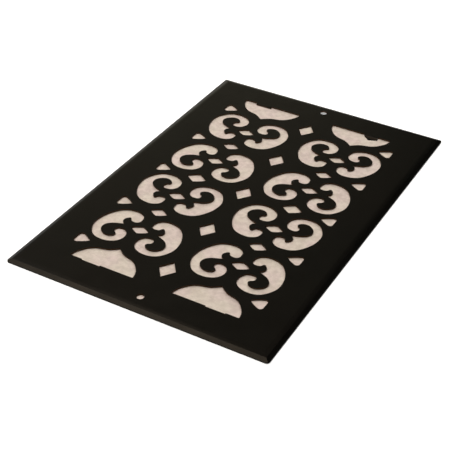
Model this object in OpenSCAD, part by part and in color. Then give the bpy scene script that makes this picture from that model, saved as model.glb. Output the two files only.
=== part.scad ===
// Return air grille for a duct of six by ten inches: a face plate pressed from one sheet,
// pierced with scrollwork, over a thin filter sheet that four tabs of the plate hold from below.
// The origin is under the middle of the plate, +Y runs along its length and +Z faces the room.

/* [Face plate] */
// Width over the bevelled rim
plate_w = 190.5; // [186:0.5:215]
// Length over the bevelled rim
plate_l = 292.1; // [289:0.1:330]
// Height from the foot of the rim to the face
plate_h = 2.8; // [2.8:0.1:4]
// Thickness of the sheet
sheet_t = 1; // [0.8:0.05:1]

/* [Rim] */
// Slope of the bevel in degrees
bevel_slope = 24; // [20:1:32]
// Outer radius of the soft bend between bevel and face
bend_r = 8; // [4:0.5:10]
// Width of the flat foot that the rim stands on
foot_w = 0.6; // [0.4:0.1:1]
// Radius of the plate's corners, seen from above
corner_r = 2.5; // [1:0.5:4]

/* [Screw holes] */
// Diameter of the two screw holes
screw_hole_d = 5.2; // [4:0.1:6]
// Distance of each screw hole's middle from the end of the plate
screw_inset = 11.85; // [10:0.05:14]

/* [Scrollwork] */
// Distance between the two columns of medallions
column_pitch = 76.6; // [75:0.1:79]
// Distance from each row of medallions to the next
row_pitch = 51.1; // [50:0.1:52]
// Distance of a medallion's own diamond from the middle of its row
heart_drop = 1.8; // [0:0.1:3]
// Distance from the middle of a column to the straight sides of its half diamonds
half_diamond_offset = 32.3; // [31:0.1:34]
// Distance from the last row of diamonds to the straight sides of the lunettes
lunette_offset = 18.9; // [18:0.1:21]

/* [Filter sheet] */
// Thickness of the filter sheet
filter_t = 0.6; // [0.4:0.1:0.6]
// Gap between the rim's bend and the filter on each side
filter_side_gap = 5; // [2:0.5:12]
// Gap between the rim's bend and the filter at the near end
filter_near_gap = 3.4; // [2:0.1:8]
// Gap between the rim's bend and the filter at the far end
filter_far_gap = 7.4; // [5:0.1:9]

/* [Tabs] */
// Width of each tab
tab_w = 13; // [8:0.5:16]
// Distance of a tab from the middle of its lunette, away from the long centre line
tab_offset = 7.7; // [4:0.1:12]
// Distance from a tab's root to the front of its fold
tab_lip = 1.9; // [1.6:0.1:3]
// Length of a folded tab's leg under the filter
tab_leg = 6; // [4:0.5:10]
// Reach of the far right tab, which isn't folded back but steps down under the filter
step_reach = 8; // [6.5:0.1:10]
// Slope of that step in degrees
step_slope = 55; // [45:1:65]
// Outer radius of the step's bends
step_r = 2.2; // [1.8:0.1:2.2]
// Gap between a tab and the edges of its slot in the filter
slot_gap = 0.4; // [0.2:0.1:1]

/* [Hidden] */
$fn = 64;

plate_black = "#211e1a";
filter_cream = "#cfc0b2";

// Most that one step of an arc may turn, in degrees, and the longest that it may be. An arc
// below the small radius turns twice as much with each step.
arc_turn = 15;
arc_reach = 3;
small_r = 1.5;
// Steps along the bowed side of a diamond
bow_steps = 4;

// The rim: its cut edge stands upright on the foot, and the bevel rises from it
face_under = plate_h - sheet_t;
rim_edge_h = sheet_t / cos(bevel_slope) - foot_w * tan(bevel_slope);
bevel_w = (plate_h - rim_edge_h) / tan(bevel_slope);
bend_reach = bend_r * tan(bevel_slope / 2);

// Where the flat field within the rim's bends ends, and how far inside that the panel does
field_x = plate_w / 2 - bevel_w - bend_reach;
field_y = plate_l / 2 - bevel_w - bend_reach;
panel_inset = 1;

half_diamond_x = column_pitch / 2 + half_diamond_offset;
lunette_y = 2 * row_pitch + lunette_offset;
screw_y = plate_l / 2 - screw_inset;

// A tab's fold closes round the filter
fold_inner_r = filter_t / 2;
fold_outer_r = fold_inner_r + sheet_t;
fold_z = face_under - fold_inner_r;
fold_back = tab_lip - fold_outer_r;
tab_x = column_pitch / 2 + tab_offset;
// A tab's root overlaps the sheet that it grows from by this much
root_hold = 1;
// Relief cut on each side of a tab that starts in a notch
relief = 0.5;
// The step of the far right tab begins this far out from the straight side
step_start = 0.2;

// The torn slot round the far right tab, seen from above, measured from the middle of the tab
// at the straight side of its lunette. The tab's left side runs along the slot's left edge.
torn_slot = [[-7, 0.4], [0.3, -5.9], [6.9, -3.1], [6.9, 0.4]];

// Diamonds: half their width, their height up and down, and the bow of their sides
heart_diamond = [6.8, 4.4, 4, 0.4];
row_diamond = [6.6, 4.3, 4.3, 0.4];
waist_diamond = [7.6, 5.4, 5.4, 0.3];
centre_diamond = [6.3, 8.6, 8.6, 0];

// Half diamonds: corner points from the middle of the straight side, each with its radius
half_diamond_outline = [
    [0, 6.3, 2.2], [-6.3, 3.3, 20], [-10.8, 0, 0.6], [-6.3, -3.3, 20], [0, -6.3, 2.2]
];

// Half of a scroll medallion, measured from the middle of its medallion: corner points, each
// with the radius that rounds it. +Y is the side of the large curl.
scroll_outline = [
    // The back, from the large curl round to the small one
    [3.9, 15.8, 9], [13.7, 20, 10], [24.6, 20, 12], [32.4, 7.1, 16.5],
    [30.8, -3.8, 16], [28.6, -8.9, 14], [22.9, -18.5, 14], [9.8, -19.4, 9.5],
    // The small curl and the hooked finger that it turns round
    [5, -15.2, 5.5], [4.3, -7, 3.3], [11.5, -7.7, 2.6], [12.6, -11.7, 1.2],
    [18.4, -5.5, 3.8], [12.9, -2.4, 0.3],
    // The inside of the large curl and its tip
    [20.6, 0.5, 9.4], [24.4, 4.3, 5.9], [24.5, 10.1, 6.4], [18.6, 14.5, 6.2],
    [13.5, 13.5, 5.3], [11.1, 9.9, 1.9], [14.6, 7.8, 2.2],
    [16, 2.9, 2.8], [7.7, 2.7, 5.6], [5, 7.7, 6]
];

// Half of a lunette, from the cusp to the end of its straight side, in the same way. X is
// measured from the lunette's middle, Y down from its straight side.
lunette_outline = [
    [0, -22, 0.3], [6, -17.1, 12.9], [16, -15, 14], [23.5, -5.2, 15.4], [24, 0, 0.6]
];

function unit(v) = v / norm(v);

// The points of the arc that rounds the corner p between the points a and b
function corner_arc(a, p, b, r) =
    let (
        to_a = unit(a - p),
        to_b = unit(b - p),
        half = acos(to_a * to_b) / 2,
        middle = p + unit(to_a + to_b) * r / sin(half),
        first = p + to_a * r / tan(half) - middle,
        start = atan2(first[1], first[0]),
        turn = (180 - 2 * half) * sign(cross(p - a, b - p)),
        length = abs(turn) * PI / 180 * r,
        most = r < small_r ? 2 * arc_turn : arc_turn,
        steps = max(2, ceil(abs(turn) / most), ceil(length / arc_reach))
    )
    [for (i = [0:steps]) middle + r * [cos(start + turn * i / steps), sin(start + turn * i / steps)]];

function flat(corner) = [corner[0], corner[1]];

// An outline whose corners are rounded, each by its own radius
function rounded(corners) =
    let (n = len(corners))
    [for (i = [0:n - 1])
        each corner_arc(
            flat(corners[(i + n - 1) % n]), flat(corners[i]),
            flat(corners[(i + 1) % n]), corners[i][2]
        )];

// The points of a side from a towards b that bows out to its right by bow
function bowed_side(a, b, bow) =
    let (out = unit([b[1] - a[1], a[0] - b[0]]))
    bow == 0 ? [a] : [for (i = [0:bow_steps - 1])
        let (u = i / bow_steps) a + (b - a) * u + out * bow * 4 * u * (1 - u)];

// A diamond with bowed sides; its lower half may be less high than its upper one
module diamond(sizes) {
    corners = [[sizes[0], 0], [0, sizes[1]], [-sizes[0], 0], [0, -sizes[2]]];
    polygon([for (i = [0:3]) each bowed_side(corners[i], corners[(i + 1) % 4], sizes[3])]);
}

// Two scrolls that face each other, with the medallion's own diamond between them
module medallion() {
    for (side = [0, 1]) mirror([side, 0]) polygon(rounded(scroll_outline));
    translate([0, -heart_drop]) diamond(heart_diamond);
}

module lunette() {
    half = lunette_outline;
    n = len(half);
    other = [for (i = [n - 1:-1:1]) [-half[i][0], half[i][1], half[i][2]]];
    polygon(rounded(concat(half, other)));
}

// One quarter of the pattern; the others are its mirror images
module quarter_pattern() {
    // The outer row curls outwards and the inner row inwards
    translate([column_pitch / 2, row_pitch * 1.5]) medallion();
    translate([column_pitch / 2, row_pitch / 2]) mirror([0, 1]) medallion();
    translate([column_pitch / 2, row_pitch]) diamond(row_diamond);
    translate([column_pitch / 2, lunette_y]) lunette();
}

module scrollwork() {
    for (side = [0, 1], end = [0, 1])
        mirror([side, 0]) mirror([0, end]) quarter_pattern();
    for (side = [-1, 1]) translate([side * column_pitch / 2, 0]) diamond(waist_diamond);
    for (row = [-2:2]) {
        translate([0, row * row_pitch]) diamond(centre_diamond);
        for (side = [0, 1])
            mirror([side, 0]) translate([half_diamond_x, row * row_pitch])
                polygon(rounded(half_diamond_outline));
    }
}

// Section of the pressed sheet across a span: inset 0 gives its outside, and the sheet's
// thickness gives the hollow below it
module rim_section(span, inset) {
    rise = inset / cos(bevel_slope);
    top = plate_h - inset;
    edge_z = rim_edge_h - rise;
    bend_x = span / 2 - bevel_w - bend_reach;
    r = bend_r - inset;
    slope_x = bend_x + r * sin(bevel_slope);
    slope_z = plate_h - bend_r + r * cos(bevel_slope);
    foot_x = inset == 0 ? span / 2 : span / 2 + edge_z / tan(bevel_slope);
    foot_z = inset == 0 ? rim_edge_h : 0;
    half = [[bend_x, top], [slope_x, slope_z], [foot_x, foot_z]];
    intersection() {
        union() {
            polygon(concat(
                [[foot_x, 0]], inset == 0 ? [half[2]] : [], [half[1], half[0]],
                [for (p = [half[0], half[1]]) [-p[0], p[1]]],
                inset == 0 ? [[-half[2][0], half[2][1]]] : [], [[-foot_x, 0]]
            ));
            for (side = [-1, 1])
                translate([side * bend_x, plate_h - bend_r]) circle(r);
        }
        translate([-span, 0]) square([2 * span, plate_h]);
    }
}

// The section run along both spans of the plate, so that the bevels meet in mitres
module pressed_form(inset) {
    intersection() {
        rotate([90, 0, 0])
            linear_extrude(plate_l + 2, center = true) rim_section(plate_w, inset);
        rotate([90, 0, 90])
            linear_extrude(plate_w + 2, center = true) rim_section(plate_l, inset);
    }
}

module plate_outline() {
    w = plate_w / 2 - corner_r;
    l = plate_l / 2 - corner_r;
    square([2 * w, plate_l], center = true);
    square([plate_w, 2 * l], center = true);
    for (x = [-w, w], y = [-l, l]) translate([x, y]) circle(corner_r);
}

// Puts what it is given at the three folded tabs, with the centre of its fold at Y 0. The near
// ones start in notches, so that their folds are flush with the straight sides there.
module at_folded_tabs() {
    mirror([1, 0]) translate([tab_x, lunette_y - fold_back]) children();
    mirror([0, 1]) for (side = [0, 1]) mirror([side, 0])
        translate([tab_x, lunette_y + fold_outer_r]) children();
}

// A folded tab: a flat root, a fold round the filter's edge and a leg below the filter
module folded_tab() {
    rotate([90, 0, 90]) linear_extrude(tab_w, center = true) translate([0, fold_z]) {
        difference() {
            circle(fold_outer_r);
            circle(fold_inner_r);
            translate([0, -plate_h]) square(2 * plate_h);
        }
        translate([0, fold_inner_r]) square([fold_back + root_hold, sheet_t]);
        translate([0, -fold_outer_r]) square([tab_leg, sheet_t]);
    }
}

module notches() {
    mirror([0, 1]) for (side = [0, 1]) mirror([side, 0])
        translate([tab_x - tab_w / 2 - relief, lunette_y - root_hold])
            square([tab_w + 2 * relief, tab_lip + root_hold]);
}

// The step of the far right tab from the side, its root at X 0 and its leg toward minus X
module step_section() {
    drop = [-(sheet_t + filter_t) / tan(step_slope), -(sheet_t + filter_t)];
    bend = tan(step_slope / 2);
    inner_r = step_r - sheet_t;
    face_bend = [-step_start - step_r * bend, plate_h];
    under_bend = [-step_start - inner_r * bend, face_under];
    face_start = [root_hold, plate_h];
    under_start = [root_hold, face_under];
    leg_z = face_under - filter_t;
    face_end = [-step_reach, leg_z];
    under_end = [-step_reach, leg_z - sheet_t];
    polygon(concat(
        [face_start],
        corner_arc(face_start, face_bend, face_bend + drop, step_r),
        corner_arc(face_bend, face_bend + drop, face_end, inner_r),
        [face_end, under_end],
        corner_arc(under_end, under_bend + drop, under_bend, step_r),
        corner_arc(under_bend + drop, under_bend, under_start, inner_r),
        [under_start]
    ));
}

// The far right tab: its left side is cut off along the left edge of the torn slot
module stepped_tab() {
    edge = torn_slot[1] - torn_slot[0];
    inset = slot_gap * norm(edge) / -edge[1];
    function left_x(y) = torn_slot[0][0] + inset + (y - torn_slot[0][1]) * edge[0] / edge[1];
    intersection() {
        rotate([90, 0, 90]) linear_extrude(tab_w, center = true) step_section();
        linear_extrude(plate_h) polygon([
            [left_x(0), root_hold], [left_x(0), 0], [left_x(-step_reach), -step_reach],
            [tab_w / 2, -step_reach], [tab_w / 2, root_hold]
        ]);
    }
}

module panel_outline() {
    square(2 * [field_x - panel_inset, field_y - panel_inset], center = true);
}

// The flat middle of the plate, pierced
module panel() {
    translate([0, 0, face_under]) linear_extrude(sheet_t) difference() {
        panel_outline();
        scrollwork();
        notches();
        for (end = [-1, 1]) translate([0, end * screw_y]) circle(d = screw_hole_d);
    }
}

// The bevelled border round the panel
module rim() {
    difference() {
        intersection() {
            pressed_form(0);
            linear_extrude(plate_h) plate_outline();
        }
        pressed_form(sheet_t);
        translate([0, 0, -1]) linear_extrude(plate_h + 2) panel_outline();
    }
}

module face_plate() {
    color(plate_black) {
        rim();
        panel();
        at_folded_tabs() folded_tab();
        translate([tab_x, lunette_y]) stepped_tab();
    }
}

module filter_slot() {
    translate([-tab_w / 2 - slot_gap, -fold_outer_r - slot_gap])
        square([tab_w + 2 * slot_gap, fold_outer_r + 2 * slot_gap]);
}

module filter_sheet() {
    half_w = field_x - filter_side_gap;
    near_y = field_y - filter_near_gap;
    far_y = field_y - filter_far_gap;
    color(filter_cream)
        translate([0, 0, face_under - filter_t]) linear_extrude(filter_t) difference() {
            translate([-half_w, -near_y]) square([2 * half_w, near_y + far_y]);
            at_folded_tabs() filter_slot();
            translate([tab_x, lunette_y]) polygon(torn_slot);
        }
}

face_plate();
filter_sheet();
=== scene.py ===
"""Return air grille: the finish of its pressed face plate, and the fibre sheet behind it."""

import math

import bpy
import numpy as np
from mathutils import Matrix, Vector


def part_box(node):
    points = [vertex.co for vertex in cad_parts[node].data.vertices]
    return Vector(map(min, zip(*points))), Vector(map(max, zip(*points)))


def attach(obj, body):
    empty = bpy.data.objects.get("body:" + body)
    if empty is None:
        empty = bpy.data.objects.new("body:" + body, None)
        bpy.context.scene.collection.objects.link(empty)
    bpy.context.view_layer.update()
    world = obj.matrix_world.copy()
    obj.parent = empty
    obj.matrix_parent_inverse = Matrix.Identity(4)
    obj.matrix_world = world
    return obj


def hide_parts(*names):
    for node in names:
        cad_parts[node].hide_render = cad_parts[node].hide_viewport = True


MM = 0.001

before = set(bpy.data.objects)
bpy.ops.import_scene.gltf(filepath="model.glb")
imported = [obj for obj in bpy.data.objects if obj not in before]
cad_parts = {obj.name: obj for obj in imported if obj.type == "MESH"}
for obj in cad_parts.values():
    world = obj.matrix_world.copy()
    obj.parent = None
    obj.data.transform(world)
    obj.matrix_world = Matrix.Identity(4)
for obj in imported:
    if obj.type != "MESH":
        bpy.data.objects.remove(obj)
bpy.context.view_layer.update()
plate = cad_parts["face_plate"]

# Camera, in millimetres and pixels of the square picture
PICTURE_WIDTH = 450
SENSOR_WIDTH = 36
FOCAL_PIXELS = 1088.2
CAMERA_PLACE = Vector((290.84, -569.79, 429.12))
CAMERA_FORWARD = Vector((-0.38458, 0.71883, -0.57912))
CAMERA_RIGHT = Vector((0.87313, 0.48687, 0.02448))

# Slots that the plate's tabs pass through, as the plate has them, in millimetres
TAB_X = 46
LUNETTE_Y = 121.1
FAR_FOLD_Y = 120.5
NEAR_FOLD_Y = 122.4
SLOT_HALF_WIDTH = 6.9
SLOT_INWARD = 1.7
SLOT_OUTWARD = 0.4
TORN_SLOT = [(-7, 0.4), (0.3, -5.9), (6.9, -3.1), (6.9, 0.4)]


class Value:
    """A node's output that takes part in Python arithmetic."""

    def __init__(self, graph, socket):
        self.graph = graph
        self.socket = socket

    def _math(self, operation, *values):
        return self.graph.node("ShaderNodeMath", {"operation": operation}, dict(enumerate(values)))[0]

    def __add__(self, other):
        return self._math("ADD", self, other)

    __radd__ = __add__

    def __sub__(self, other):
        return self._math("SUBTRACT", self, other)

    def __rsub__(self, other):
        return self._math("SUBTRACT", other, self)

    def __mul__(self, other):
        return self._math("MULTIPLY", self, other)

    __rmul__ = __mul__

    def __truediv__(self, other):
        return self._math("DIVIDE", self, other)

    def __pow__(self, other):
        return self._math("POWER", self, other)

    def absolute(self):
        return self._math("ABSOLUTE", self)

    def clamped(self):
        return self.graph.node("ShaderNodeClamp", {}, {"Value": self})[0]

    def ramp(self, low, high, out_low=0.0, out_high=1.0):
        """Runs smoothly from out_low at low to out_high at high."""
        settings = {"interpolation_type": "SMOOTHSTEP"}
        sockets = {"Value": self, "From Min": low, "From Max": high, "To Min": out_low, "To Max": out_high}
        return self.graph.node("ShaderNodeMapRange", settings, sockets)[0]


class Made:
    """A node whose outputs are read by name or number, as values."""

    def __init__(self, graph, node):
        self.graph = graph
        self.node = node

    def __getitem__(self, key):
        return Value(self.graph, self.node.outputs[key])


class Graph:
    """A node tree that is built by calls of node()."""

    def __init__(self, tree):
        self.tree = tree

    def node(self, kind, settings=None, sockets=None):
        """Makes a node, sets its settings, then gives its sockets values or links."""
        made = self.tree.nodes.new(kind)
        for name, setting in (settings or {}).items():
            setattr(made, name, setting)
        for key, value in (sockets or {}).items():
            if isinstance(value, Value):
                self.tree.links.new(value.socket, made.inputs[key])
            else:
                made.inputs[key].default_value = value
        return Made(self, made)

    def mix(self, factor, first, second):
        """Mixes two colours."""
        settings = {"data_type": "RGBA"}
        sockets = {"Factor": factor, 6: first, 7: second}
        return Value(self, self.node("ShaderNodeMix", settings, sockets).node.outputs[2])

    def noise(self, place, scale, detail=2.0, roughness=0.5, distortion=0.0):
        sockets = {
            "Vector": place, "Scale": scale, "Detail": detail,
            "Roughness": roughness, "Distortion": distortion,
        }
        return self.node("ShaderNodeTexNoise", {}, sockets)["Fac"]

    def stretched(self, place, scale, turn=0.0):
        """The place, scaled by three factors and turned about Z."""
        sockets = {"Vector": place, "Scale": scale, "Rotation": (0, 0, turn)}
        return self.node("ShaderNodeMapping", {}, sockets)["Vector"]


def new_material(name):
    """A material and the graph of its emptied node tree."""
    material = bpy.data.materials.new(name)
    material.use_nodes = True
    material.node_tree.nodes.clear()
    return material, Graph(material.node_tree)


def srgb(red, green, blue):
    """A colour as the eye reads it on screen, 0 to 255, in the linear values that sockets take."""
    def linear(c):
        c /= 255
        return c / 12.92 if c <= 0.04045 else ((c + 0.055) / 1.055) ** 2.4
    return (linear(red), linear(green), linear(blue), 1.0)


# Materials

def black_powder_coat():
    """Satin black powder coat: a dark warm black with a fine pebbled skin. The walls of the openings carry a painted
    brown reflection of the cream filter.
    """
    material, graph = new_material("black_powder_coat")
    place = graph.node("ShaderNodeTexCoord")["Object"]
    drift = graph.noise(place, 9, 3)
    black = graph.mix(drift.ramp(0.35, 0.65), srgb(8, 7, 6), srgb(7, 7, 6))
    at = graph.node("ShaderNodeSeparateXYZ", {}, {"Vector": place})
    facing = graph.node("ShaderNodeSeparateXYZ", {}, {"Vector": graph.node("ShaderNodeNewGeometry")["Normal"]})
    # Upright faces inside the rim, the walls of the openings, get a brown colour: a painted reflection of the cream
    # filter's light, not a colour of the coat.
    painted_reflection_walls = facing["Z"].absolute().ramp(0.35, 0.75, 1, 0)
    within = at["X"].absolute().ramp(0.0880, 0.0885, 1, 0) * at["Y"].absolute().ramp(0.1385, 0.1390, 1, 0)
    colour = graph.mix(painted_reflection_walls * within, black, srgb(80, 60, 43))
    cloud = graph.noise(place, 60, 4, 0.6)
    pebble = graph.noise(place, 900, 2, 0.55)
    grit = graph.noise(place, 3200, 1, 0.5)
    roughness = 0.34 + cloud.ramp(0.3, 0.7) * 0.06 + pebble * 0.05
    skin = pebble * 0.75 + grit * 0.25
    bump = graph.node("ShaderNodeBump", {}, {"Height": skin, "Strength": 0.22, "Distance": 0.05 * MM})
    surface = graph.node("ShaderNodeBsdfPrincipled", {}, {
        "Base Color": colour, "Roughness": roughness, "Normal": bump["Normal"],
        "Specular IOR Level": 0.05, "Specular Tint": (1.0, 0.86, 0.70, 1),
    })
    graph.node("ShaderNodeOutputMaterial", {}, {"Surface": surface["BSDF"]})
    return material


def cream_fibre():
    """Cream bonded fibre: a fine mottle of pink and yellow, short streaks and a soft nap."""
    material, graph = new_material("cream_fibre")
    place = graph.node("ShaderNodeTexCoord")["Object"]
    mottle = graph.noise(place, 300, 3, 0.5, 0.3)
    cloud = graph.noise(place, 110, 2, 0.5)
    tint = graph.noise(place, 45, 3, 0.55)
    streak_a = graph.noise(graph.stretched(place, (1, 9, 1), 0.6), 260, 3, 0.6, 1.2)
    streak_b = graph.noise(graph.stretched(place, (9, 1, 1), 0.35), 240, 3, 0.6, 1.2)
    fuzz = graph.noise(place, 1800, 3, 0.7)
    nap = streak_a * 0.4 + streak_b * 0.4 + fuzz * 0.2
    warm = graph.mix(tint.ramp(0.38, 0.62), srgb(203, 187, 179), srgb(202, 191, 178))
    dark = graph.mix(tint.ramp(0.38, 0.62), srgb(185, 169, 161), srgb(185, 173, 160))
    shade = (mottle * 0.5 + cloud * 0.15 + nap * 0.35).ramp(0.38, 0.61)
    colour = graph.mix(shade, dark, warm)
    bump = graph.node("ShaderNodeBump", {}, {"Height": nap, "Strength": 0.5, "Distance": 0.12 * MM})
    surface = graph.node("ShaderNodeBsdfPrincipled", {}, {
        "Base Color": colour, "Roughness": 0.93, "Normal": bump["Normal"],
        "Specular IOR Level": 0.2, "Sheen Weight": 0.12, "Sheen Roughness": 0.6,
    })
    graph.node("ShaderNodeOutputMaterial", {}, {"Surface": surface["BSDF"]})
    return material


def fibre_strand():
    """Single fibres, from pale cream to straw."""
    material, graph = new_material("fibre_strand")
    place = graph.node("ShaderNodeTexCoord")["Object"]
    kind = graph.noise(place, 70, 2, 0.5)
    sheen = graph.noise(place, 1500, 2, 0.5)
    colour = graph.mix(kind.ramp(0.35, 0.65), srgb(196, 180, 162), srgb(222, 213, 200))
    bump = graph.node("ShaderNodeBump", {}, {"Height": sheen, "Strength": 0.3, "Distance": 0.02 * MM})
    surface = graph.node("ShaderNodeBsdfPrincipled", {}, {
        "Base Color": colour, "Roughness": 0.6 + sheen * 0.2, "Normal": bump["Normal"],
        "Specular IOR Level": 0.3,
    })
    graph.node("ShaderNodeOutputMaterial", {}, {"Surface": surface["BSDF"]})
    return material


# Pieces

def finish_plate():
    """Gives the plate its paint, and softens its cut edges as the coat does."""
    plate.data.materials.clear()
    plate.data.materials.append(black_powder_coat())
    weld = plate.modifiers.new("join_facets", "WELD")
    weld.merge_threshold = 0.002 * MM
    smooth = plate.modifiers.new("coat_thickness", "BEVEL")
    smooth.width = 0.12 * MM
    smooth.segments = 2
    smooth.limit_method = "ANGLE"
    smooth.angle_limit = math.radians(40)
    smooth.harden_normals = True


def slot_outlines():
    """The four slots of the filter, each with the size of its torn fibres."""
    def straight(x, y, end):
        low, high = sorted((y - end * SLOT_INWARD, y + end * SLOT_OUTWARD))
        corners = [(-SLOT_HALF_WIDTH, low), (SLOT_HALF_WIDTH, low), (SLOT_HALF_WIDTH, high), (-SLOT_HALF_WIDTH, high)]
        return [Vector((x + dx, dy)) for dx, dy in corners]

    return [
        (straight(-TAB_X, FAR_FOLD_Y, 1), 0.05),
        (straight(-TAB_X, -NEAR_FOLD_Y, -1), 0.05),
        (straight(TAB_X, -NEAR_FOLD_Y, -1), 0.05),
        ([Vector((TAB_X + dx, LUNETTE_Y + dy)) for dx, dy in TORN_SLOT], 0.16),
    ]


def torn_edge(outline, size):
    """The outline with points every half millimetre or so that stray from it a little."""
    points = []
    for k, start in enumerate(outline):
        side = outline[(k + 1) % len(outline)] - start
        out = Vector((side.y, -side.x)).normalized()
        count = max(2, round(side.length / 0.55))
        for i in range(count):
            p = start + side * i / count
            stray = math.sin(p.x * 5.1 + p.y * 3.7) + math.sin(p.x * 11.3 - p.y * 8.9 + 1)
            points.append(p + out * size * stray * math.sin(math.pi * i / count) ** 0.5)
    return points


def plain_mesh(obj):
    """Turns an object with modifiers into a plain mesh object."""
    depsgraph = bpy.context.evaluated_depsgraph_get()
    mesh = bpy.data.meshes.new_from_object(obj.evaluated_get(depsgraph))
    obj.modifiers.clear()
    obj.data = mesh
    return obj


def new_object(name, vertices, faces):
    mesh = bpy.data.meshes.new(name)
    mesh.from_pydata(vertices, [], faces)
    mesh.update()
    obj = bpy.data.objects.new(name, mesh)
    bpy.context.scene.collection.objects.link(obj)
    return obj


def prism(name, outline, low, high):
    """An upright prism over an outline that runs anticlockwise."""
    n = len(outline)
    vertices = [(p.x, p.y, z) for z in (low, high) for p in outline]
    faces = [tuple(reversed(range(n))), tuple(range(n, 2 * n))]
    faces += [(i, (i + 1) % n, (i + 1) % n + n, i + n) for i in range(n)]
    return new_object(name, vertices, faces)


def filter_mat():
    """The filter: a thin mat of bonded fibres that undulates a little, slotted for the tabs."""
    low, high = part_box("filter_sheet")
    cell = 2 * MM
    nx = round((high.x - low.x) / cell)
    ny = round((high.y - low.y) / cell)
    xs = np.linspace(low.x, high.x, nx + 1)
    ys = np.linspace(low.y, high.y, ny + 1)
    gx, gy = np.meshgrid(xs, ys, indexing="ij")
    wave = (
        np.sin(gx * 95 + 1.3 * np.sin(gy * 37)) * 0.5
        + np.sin(gy * 71 + 1.7 * np.sin(gx * 53) + 2) * 0.5
    )
    edge_x = 0.25 * MM * np.sin(gy * 160 + 3 * np.sin(gy * 41)) * np.abs(gx / high.x) ** 30
    edge_y = 0.25 * MM * np.sin(gx * 190 + 2 * np.sin(gx * 57)) * (np.abs(gy - (low.y + high.y) / 2) / ((high.y - low.y) / 2)) ** 30
    top = high.z - 0.07 * MM + 0.03 * MM * wave
    bottom = low.z + 0.05 * MM + 0.04 * MM * wave
    vertices = []
    for z in (top, bottom):
        vertices += list(zip((gx - edge_x).ravel(), (gy - edge_y).ravel(), z.ravel()))
    count = (nx + 1) * (ny + 1)

    def number(i, j, side):
        return side * count + i * (ny + 1) + j

    faces = []
    for i in range(nx):
        for j in range(ny):
            faces.append((number(i, j, 0), number(i + 1, j, 0), number(i + 1, j + 1, 0), number(i, j + 1, 0)))
            faces.append((number(i, j, 1), number(i, j + 1, 1), number(i + 1, j + 1, 1), number(i + 1, j, 1)))
    rim = [(i, 0) for i in range(nx)] + [(nx, j) for j in range(ny)]
    rim += [(i, ny) for i in range(nx, 0, -1)] + [(0, j) for j in range(ny, 0, -1)]
    for k, (i, j) in enumerate(rim):
        a, b = rim[(k + 1) % len(rim)]
        faces.append((number(i, j, 0), number(i, j, 1), number(a, b, 1), number(a, b, 0)))
    mat = new_object("filter_mat", vertices, faces)

    for k, (outline, size) in enumerate(slot_outlines()):
        cutter = prism(f"slot_{k}", [p * MM for p in torn_edge(outline, size)], -2 * MM, 5 * MM)
        cut = mat.modifiers.new(f"slot_{k}", "BOOLEAN")
        cut.operation = "DIFFERENCE"
        cut.solver = "EXACT"
        cut.object = cutter
        plain_mesh(mat)
        bpy.data.objects.remove(cutter)
    mat.data.materials.clear()
    mat.data.materials.append(cream_fibre())
    return mat


def fibre_field(mat, margin):
    """The faces of the mat that lie at least a margin from its edges and slots, as loose faces."""
    low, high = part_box("filter_sheet")
    slots = []
    for outline, _ in slot_outlines():
        xs = [p.x * MM for p in outline]
        ys = [p.y * MM for p in outline]
        slots.append((min(xs) - margin, max(xs) + margin, min(ys) - margin, max(ys) + margin))
    vertices = []
    faces = []
    for face in mat.data.polygons:
        c = face.center
        inside = low.x + margin < c.x < high.x - margin and low.y + margin < c.y < high.y - margin
        if not inside or any(a < c.x < b and d < c.y < e for a, b, d, e in slots):
            continue
        faces.append(tuple(range(len(vertices), len(vertices) + len(face.vertices))))
        vertices += [mat.data.vertices[v].co.copy() for v in face.vertices]
    return new_object("fibres", vertices, faces)


def fibre_nodes():
    """Lays short bowed fibres flat on the faces of a mesh."""
    tree = bpy.data.node_groups.new("laid_fibres", "GeometryNodeTree")
    sockets = [
        ("Field", "NodeSocketGeometry"), ("Per square metre", "NodeSocketFloat"), ("Length", "NodeSocketFloat"),
        ("Bow", "NodeSocketFloat"), ("Radius", "NodeSocketFloat"), ("Seed", "NodeSocketInt"),
        ("Fibre material", "NodeSocketMaterial"),
    ]
    for name, kind in sockets:
        tree.interface.new_socket(name, in_out="INPUT", socket_type=kind)
    tree.interface.new_socket("Fibres", in_out="OUTPUT", socket_type="NodeSocketGeometry")
    graph = Graph(tree)
    given = graph.node("NodeGroupInput")
    points = graph.node("GeometryNodeDistributePointsOnFaces", {}, {
        "Mesh": given["Field"], "Density": given["Per square metre"], "Seed": given["Seed"],
    })
    half = given["Length"] * 0.5
    start = graph.node("ShaderNodeCombineXYZ", {}, {"X": half * -1})
    middle = graph.node("ShaderNodeCombineXYZ", {}, {"Y": given["Bow"]})
    end = graph.node("ShaderNodeCombineXYZ", {}, {"X": half})
    path = graph.node("GeometryNodeCurveQuadraticBezier", {}, {
        "Resolution": 5, "Start": start["Vector"], "Middle": middle["Vector"], "End": end["Vector"],
    })
    section = graph.node("GeometryNodeCurvePrimitiveCircle", {}, {"Resolution": 3, "Radius": given["Radius"]})
    fibre = graph.node("GeometryNodeCurveToMesh", {}, {"Curve": path["Curve"], "Profile Curve": section["Curve"]})
    turn = graph.node("FunctionNodeRandomValue", {"data_type": "FLOAT_VECTOR"}, {
        "Min": (0, 0, 0), "Max": (0, 0, 2 * math.pi), "Seed": given["Seed"],
    })
    size = graph.node("FunctionNodeRandomValue", {"data_type": "FLOAT_VECTOR"}, {
        "Min": (0.5, 0.3, 0.9), "Max": (1.5, 1.7, 1), "Seed": given["Seed"],
    })
    placed = graph.node("GeometryNodeInstanceOnPoints", {}, {
        "Points": points["Points"], "Instance": fibre["Mesh"], "Rotation": turn["Value"], "Scale": size["Value"],
    })
    real = graph.node("GeometryNodeRealizeInstances", {}, {"Geometry": placed["Instances"]})
    shown = graph.node("GeometryNodeSetMaterial", {}, {"Geometry": real["Geometry"], "Material": given["Fibre material"]})
    graph.node("NodeGroupOutput", {}, {"Fibres": shown["Geometry"]})
    return tree


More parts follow.
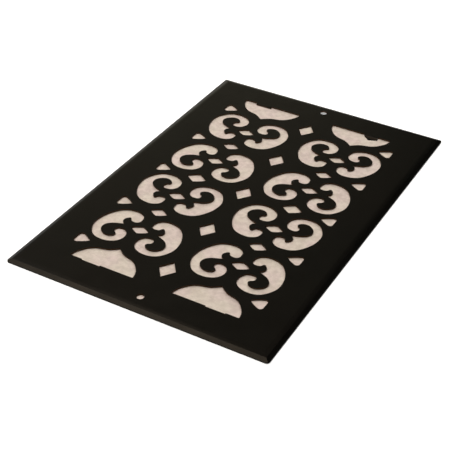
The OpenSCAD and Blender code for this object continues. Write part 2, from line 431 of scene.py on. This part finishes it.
def loose_fibres(mat):
    """The longer fibres that show on both faces of the mat."""
    fibres = fibre_field(mat, 7 * MM)
    laid = fibres.modifiers.new("laid_fibres", "NODES")
    laid.node_group = fibre_nodes()
    inputs = {
        "Per square metre": 60000.0, "Length": 8 * MM, "Bow": 2.4 * MM, "Radius": 0.035 * MM,
        "Seed": 7, "Fibre material": fibre_strand(),
    }
    for item in laid.node_group.interface.items_tree:
        if item.in_out == "INPUT" and item.name in inputs:
            laid[item.identifier] = inputs[item.name]
    return plain_mesh(fibres)


def dress_filter():
    mat = filter_mat()
    fibres = loose_fibres(mat)
    for piece in (mat, fibres):
        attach(piece, "root")
    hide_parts("filter_sheet")


# Stage

def seen_directly(graph):
    """1 for the rays that see the background itself, straight or in metal or glass."""
    path = graph.node("ShaderNodeLightPath")
    return (path["Is Camera Ray"] + path["Is Glossy Ray"] + path["Is Transmission Ray"]).clamped()


def make_floor():
    """A plain pale floor that reads as white, also where the lamps don't reach it, and keeps the
    object's shadow. From below it can't be seen, and the lamp there shines through it."""
    size = 40
    floor = new_object("floor", [(-size, -size, 0), (size, -size, 0), (size, size, 0), (-size, size, 0)], [(0, 1, 2, 3)])
    material, graph = new_material("pale_floor")
    surface = graph.node("ShaderNodeBsdfDiffuse", {}, {"Color": (0.8, 0.8, 0.8, 1)})
    place = graph.node("ShaderNodeTexCoord")["Object"]
    away = graph.node("ShaderNodeVectorMath", {"operation": "LENGTH"}, {0: place})["Value"]
    glow = graph.node("ShaderNodeEmission", {}, {"Color": (1, 1, 1, 1), "Strength": away.ramp(0.6, 4, 0.42, 1)})
    lit = graph.node("ShaderNodeAddShader", {}, {0: surface["BSDF"], 1: glow["Emission"]})
    shown = graph.node("ShaderNodeMixShader", {}, {0: seen_directly(graph), 1: surface["BSDF"], 2: lit["Shader"]})
    clear = graph.node("ShaderNodeBsdfTransparent")
    side = graph.node("ShaderNodeNewGeometry")["Backfacing"]
    shadow = graph.node("ShaderNodeLightPath")["Is Shadow Ray"]
    gone = (side + shadow).clamped()
    whole = graph.node("ShaderNodeMixShader", {}, {0: gone, 1: shown["Shader"], 2: clear["BSDF"]})
    graph.node("ShaderNodeOutputMaterial", {}, {"Surface": whole["Shader"]})
    floor.data.materials.append(material)


def make_world():
    """White where it is seen, and a soft dim light on the object."""
    world = bpy.data.worlds.new("studio")
    bpy.context.scene.world = world
    world.use_nodes = True
    world.node_tree.nodes.clear()
    graph = Graph(world.node_tree)
    seen = graph.node("ShaderNodeBackground", {}, {"Color": (1, 1, 1, 1), "Strength": 1.0})
    light = graph.node("ShaderNodeBackground", {}, {"Color": (1, 1, 0.98, 1), "Strength": 0.12})
    whole = graph.node("ShaderNodeMixShader", {}, {0: seen_directly(graph), 1: light["Background"], 2: seen["Background"]})
    graph.node("ShaderNodeOutputWorld", {}, {"Surface": whole["Shader"]})


def make_lamp(name, direction, distance, size, power, colour, lights="both"):
    """A square area lamp in that direction from the object, which it faces. It may light only what
    is matt or only what is glossy."""
    data = bpy.data.lights.new(name, "AREA")
    data.shape = "SQUARE"
    data.size = size
    data.energy = power
    data.color = colour
    lamp = bpy.data.objects.new(name, data)
    bpy.context.scene.collection.objects.link(lamp)
    lamp.location = Vector(direction).normalized() * distance
    lamp.rotation_mode = "QUATERNION"
    lamp.rotation_quaternion = Vector(direction).to_track_quat("Z", "Y")
    lamp.visible_diffuse = lights != "glossy"
    lamp.visible_glossy = lights != "matt"


def make_lamps():
    make_lamp("overhead", (-0.42, -0.05, 0.90), 1.6, 0.95, 21.5, (1.0, 0.96, 0.91))
    make_lamp("overhead_gloss", (-0.34, -0.06, 0.93), 1.6, 0.9, 16.5, (1.0, 0.89, 0.71), "glossy")
    make_lamp("window", (-0.2, 0.84, 0.5), 8.0, 5.4, 525, (1.0, 0.97, 0.93), "matt")
    make_lamp("window_gloss", (-0.54, 0.75, 0.33), 3.0, 2.0, 11.3, (1.0, 0.93, 0.68), "glossy")
    make_lamp("below", (0.25, -0.35, -0.90), 1.6, 1.0, 24, (1.0, 0.98, 0.95))


def make_card():
    """A black card above and behind the plate, which only gloss sees. Seen from the front, the
    paint mirrors it, and stays as dark as in a room."""
    half = 3.2
    facing = Vector((-0.05, 0.72, 0.69)).normalized()
    turn = facing.to_track_quat("Z", "Y").to_matrix()
    corners = [(-half, -half, 3), (-half, half, 3), (half, half, 3), (half, -half, 3)]
    card = new_object("card", [turn @ Vector(corner) for corner in corners], [(0, 1, 2, 3)])
    material, graph = new_material("black_card")
    surface = graph.node("ShaderNodeBsdfDiffuse", {}, {"Color": (0, 0, 0, 1)})
    graph.node("ShaderNodeOutputMaterial", {}, {"Surface": surface["BSDF"]})
    card.data.materials.append(material)
    card.visible_camera = False
    card.visible_diffuse = False
    card.visible_transmission = False
    card.visible_shadow = False


def make_camera():
    data = bpy.data.cameras.new("camera")
    data.sensor_width = SENSOR_WIDTH
    data.lens = FOCAL_PIXELS * SENSOR_WIDTH / PICTURE_WIDTH
    data.clip_start = 0.01
    data.clip_end = 200
    camera = bpy.data.objects.new("camera", data)
    bpy.context.scene.collection.objects.link(camera)
    back = -CAMERA_FORWARD.normalized()
    right = (CAMERA_RIGHT - CAMERA_RIGHT.project(back)).normalized()
    turn = Matrix((right, back.cross(right), back)).transposed()
    camera.matrix_world = Matrix.Translation(CAMERA_PLACE * MM) @ turn.to_4x4()
    bpy.context.scene.camera = camera


make_camera()
make_world()
make_lamps()
make_floor()
make_card()
finish_plate()
dress_filter()

bpy.context.scene.view_settings.view_transform = "Standard"
